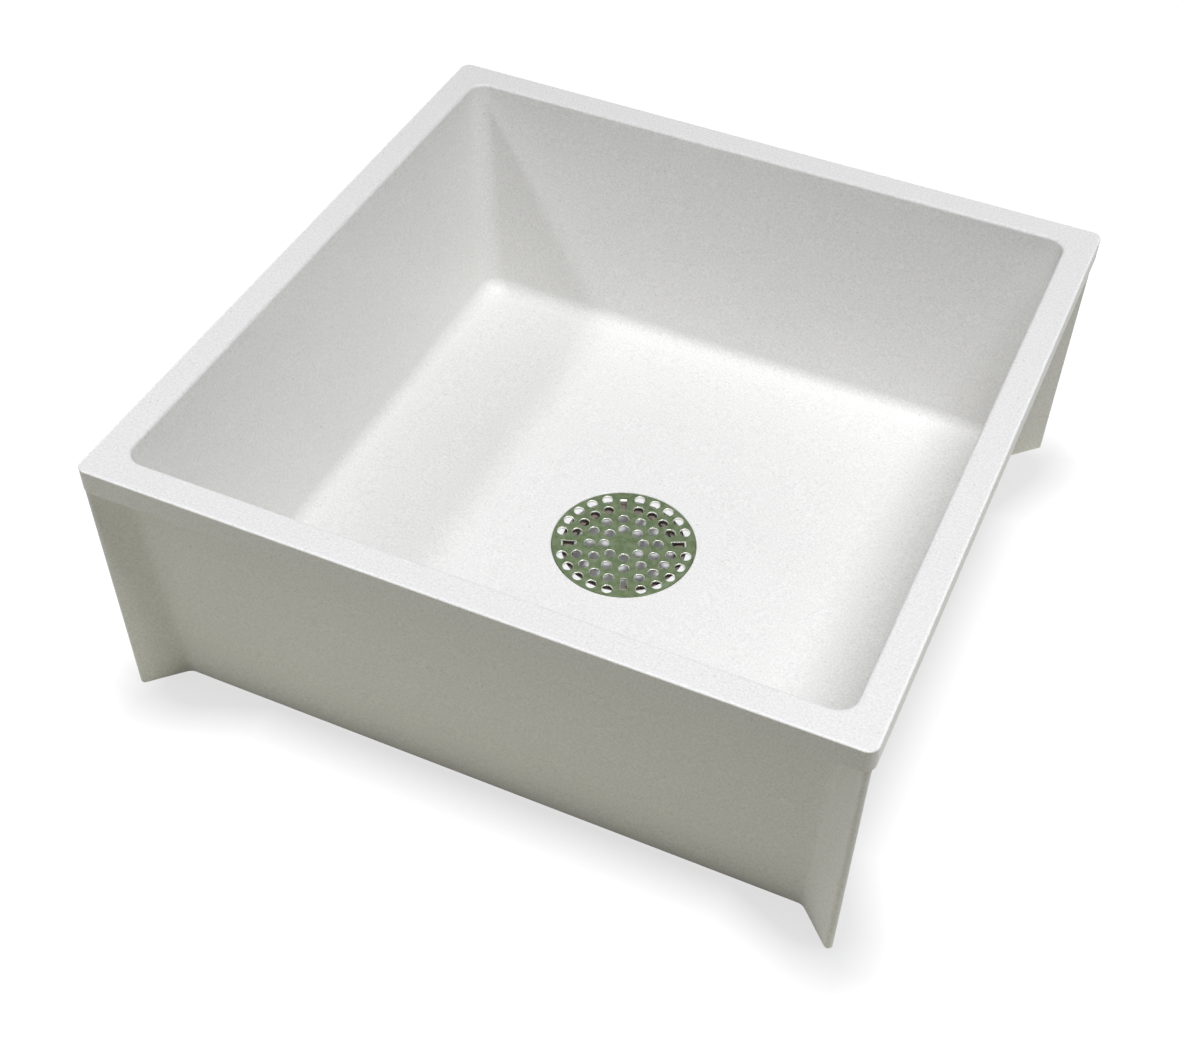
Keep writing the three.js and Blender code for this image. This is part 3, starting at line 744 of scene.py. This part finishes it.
def rolled_edges(roll, burr, steps=4):
    """Heights through the plate, from below it to above it, and how far a cut widens at each: a quarter
    circle of the burr's radius at the bottom and of the roll's radius at the top."""
    turn = np.linspace(0, np.pi / 2, steps + 1)
    heights = np.concatenate([[plate_bottom - cut_past], plate_bottom + burr * (1 - np.cos(turn)),
                              plate_top - roll * (1 - np.sin(turn)), [plate_top + cut_past]])
    widening = np.concatenate([[burr], burr * (1 - np.sin(turn)), roll * (1 - np.cos(turn)), [roll]])
    return heights, widening


def punch_centres():
    """Places of the round holes: rings evenly spaced from the rim band to the blank middle, each starting at
    the drain's turn, with the places at the four slots left out where a ring crosses them."""
    radii = np.linspace(plate_half - rim_band - punch_radius, blank_half + punch_radius, len(punched_rings))
    centres = []
    for radius, (places, skips_slots) in zip(radii, punched_rings):
        place = np.arange(places)
        place = place[place % (places // 4) > 0] if skips_slots else place
        angle = drain_turn + 2 * np.pi * place / places
        centres.append(np.stack([radius * np.cos(angle), radius * np.sin(angle)], axis=1))
    return np.concatenate(centres)


def punched_holes():
    """The round cutters as one mesh."""
    heights, widening = rolled_edges(edge_roll, burr_roll)
    cutter = stacked_solid("punch", at_heights(circles(punch_radius + widening, punch_steps), heights))
    centres = np.pad(punch_centres(), ((0, 0), (0, 1)))
    return in_copies(cutter, "punches", centres[:, None] + points_of(cutter))


def slot_cutters():
    """The slots that the legs are bent out of, widest at the leg, as far out as the bend."""
    heights, widening = rolled_edges(edge_roll / 2, burr_roll)
    wide, narrow = leg_width / 2 + slot_side_gap, leg_foot_width / 2 + slot_side_gap
    inner, outer = leg_inner - slot_length, leg_inner + bend_radius
    slot = np.array([(inner, -narrow), (leg_inner, -wide), (outer, -wide), (outer, wide), (leg_inner, wide),
                     (inner, narrow)])
    away = np.array([(-1, -1), (0, -1), (0, -1), (0, 1), (0, 1), (-1, 1)])
    outlines = [slot + away * width for width in widening]
    return in_quarters(stacked_solid("slots", at_heights(outlines, heights)), drain_turn)


def spring_legs():
    """The legs: sheet that leaves the plate level, turns down through a quarter circle and hangs to its
    foot. The outline of that section is worked out in radius and height, and widens from the foot to the
    plate. Its tail lies in the plate, a hair inside both faces."""
    turn = np.linspace(np.pi / 2, np.pi, 9)
    middle, tail, inset = (leg_inner + bend_radius, plate_top - bend_radius), (leg_tail, 0), (0, leg_inset)
    arc = np.stack([np.cos(turn), np.sin(turn)], axis=1)
    outside, inside = middle + arc * bend_radius, middle + arc[::-1] * (bend_radius - plate_thickness)
    foot = [(leg_inner, leg_foot + leg_foot_edge), (leg_inner + leg_foot_edge, leg_foot),
            (leg_outer - leg_foot_edge, leg_foot), (leg_outer, leg_foot + leg_foot_edge)]
    section = np.concatenate([[outside[0] + tail], outside, foot, inside, [inside[-1] + tail + inset]])
    section[:len(outside) + 1] -= inset
    share = (section[:, 1] - leg_foot) / (plate_top - leg_foot)
    half_width = (leg_foot_width + (leg_width - leg_foot_width) * share) / 2
    sides = [np.insert(section, 1, side * half_width, axis=1) for side in (-1, 1)]
    return in_quarters(stacked_solid("legs", sides), drain_turn)


disc_heights = (plate_bottom, plate_bottom + disc_burr, plate_top - disc_roll, plate_top - disc_roll_middle,
                plate_top)
disc_radii = plate_half - np.array([disc_burr, 0, 0, disc_roll_middle, disc_roll])
strainer = stacked_solid("strainer_disc", at_heights(circles(disc_radii, disc_steps), disc_heights))
combine(strainer, punched_holes(), "DIFFERENCE")
combine(strainer, slot_cutters(), "DIFFERENCE")
combine(strainer, spring_legs(), "UNION")
smooth(strainer, sharp_angle=50)

olive_dark, olive_pale = (0.105, 0.158, 0.068), (0.215, 0.262, 0.160)
sheared_bright = (0.88, 0.88, 0.83)


def olive_steel():
    """The plate's skin: olive-cast satin steel, mottled by handling, with fine rolling streaks."""
    material, start = material_start("olive_steel")
    place = start.node("ShaderNodeTexCoord", output="Object")
    mottle = start.node("ShaderNodeTexNoise", Vector=place, Scale=190.0, Detail=4.0, Roughness=0.65)
    stretched = start.node("ShaderNodeMapping", Vector=place, Scale=(120.0, 2400.0, 2400.0))
    streak = start.node("ShaderNodeTexNoise", Vector=stretched, Scale=1.0, Detail=2.0)
    tone = start.node("ShaderNodeMix", {"data_type": "RGBA"}, output=2, in0=mottle.ramp((0.32, 0.68)),
                      in6=olive_dark, in7=olive_pale)
    scratch = start.node("ShaderNodeBump", Strength=0.12, Distance=0.0001, Height=streak)
    return closed_with(material, start, Base_Color=tone, Metallic=0.75, Normal=scratch,
                       Roughness=0.40 + (mottle - 0.5) * 0.25 + (streak - 0.5) * 0.1)


def sheared_steel():
    """Bare bright steel where the punch cut and rolled the sheet, with fine torn marks."""
    material, start = material_start("sheared_steel")
    place = start.node("ShaderNodeTexCoord", output="Object")
    tear = start.node("ShaderNodeTexNoise", Vector=place, Scale=1500.0, Detail=2.0)
    tone = 0.92 + (tear - 0.5) * 0.15
    marks = start.node("ShaderNodeBump", Strength=0.08, Distance=0.0001, Height=tear)
    return closed_with(material, start, Base_Color=tone.tint(sheared_bright), Metallic=1.0, Normal=marks,
                       Roughness=0.40 + (tear - 0.5) * 0.15)


def of_faces(piece, attribute):
    """The normal or the center of each of the piece's faces, one per row."""
    values = np.empty(len(piece.data.polygons) * 3)
    piece.data.polygons.foreach_get(attribute, values)
    return values.reshape(-1, 3)


dress(strainer, olive_steel(), "strainer_plate", "strainer")
strainer.data.materials.append(sheared_steel())
# The plate's outer edge keeps the darker olive skin: painted shade for the gap round the plate.
level_facing, painted_shade_edge = 0.97, 0.001
steep = np.abs(of_faces(strainer, "normal")[:, 2]) < level_facing
inside_rim = np.linalg.norm(of_faces(strainer, "center")[:, :2], axis=1) < plate_half - painted_shade_edge
strainer.data.polygons.foreach_set("material_index", (steep & inside_rim).astype(np.int32))
